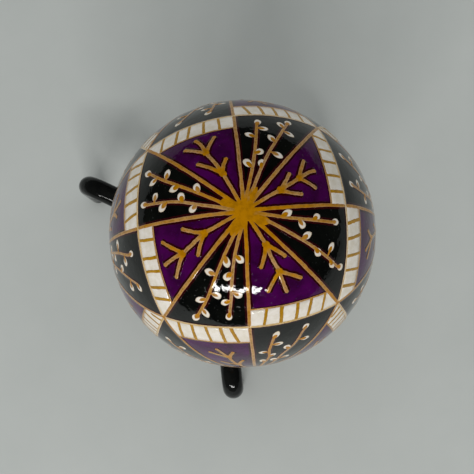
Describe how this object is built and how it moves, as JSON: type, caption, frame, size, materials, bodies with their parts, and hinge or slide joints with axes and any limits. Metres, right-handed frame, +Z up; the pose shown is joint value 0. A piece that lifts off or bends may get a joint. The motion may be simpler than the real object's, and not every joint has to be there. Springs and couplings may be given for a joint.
{
  "type": "decorated egg on a stand",
  "caption": "Blown hen's egg dyed with a wax-resist pattern of triangles, willow twigs and ladder bands, varnished, standing upright in a ring on three bent black legs.",
  "frame": {"origin": "on the table, straight below the egg's axis and the centre of its ring", "axes": "+Z up along the egg's axis, blunt end up; +Y away from the viewer, towards the back; one leg stands to -Y, one to -X, one to +X +Y"},
  "size_m": [0.0567, 0.0527, 0.06],
  "materials": {
    "dyed_varnish": "thick clear gloss over black and purple dyes, with gold and white lines",
    "egg_shell": "matt",
    "membrane": "matt",
    "black_enamel": "high gloss"
  },
  "bodies": {
    "stand": {"seat_ring": "black_enamel", "leg_west": "black_enamel", "leg_south": "black_enamel", "leg_northeast": "black_enamel", "ring_welds": "black_enamel"},
    "egg": {"egg_shell": "egg_shell", "varnish_coat": "dyed_varnish", "shell_membrane": "membrane"}
  },
  "joints": [
    {"name": "egg_lift", "type": "slide", "parent": "stand", "child": "egg", "axis": [0, 0, 1], "range_m": [0, 0.03]}
  ]
}
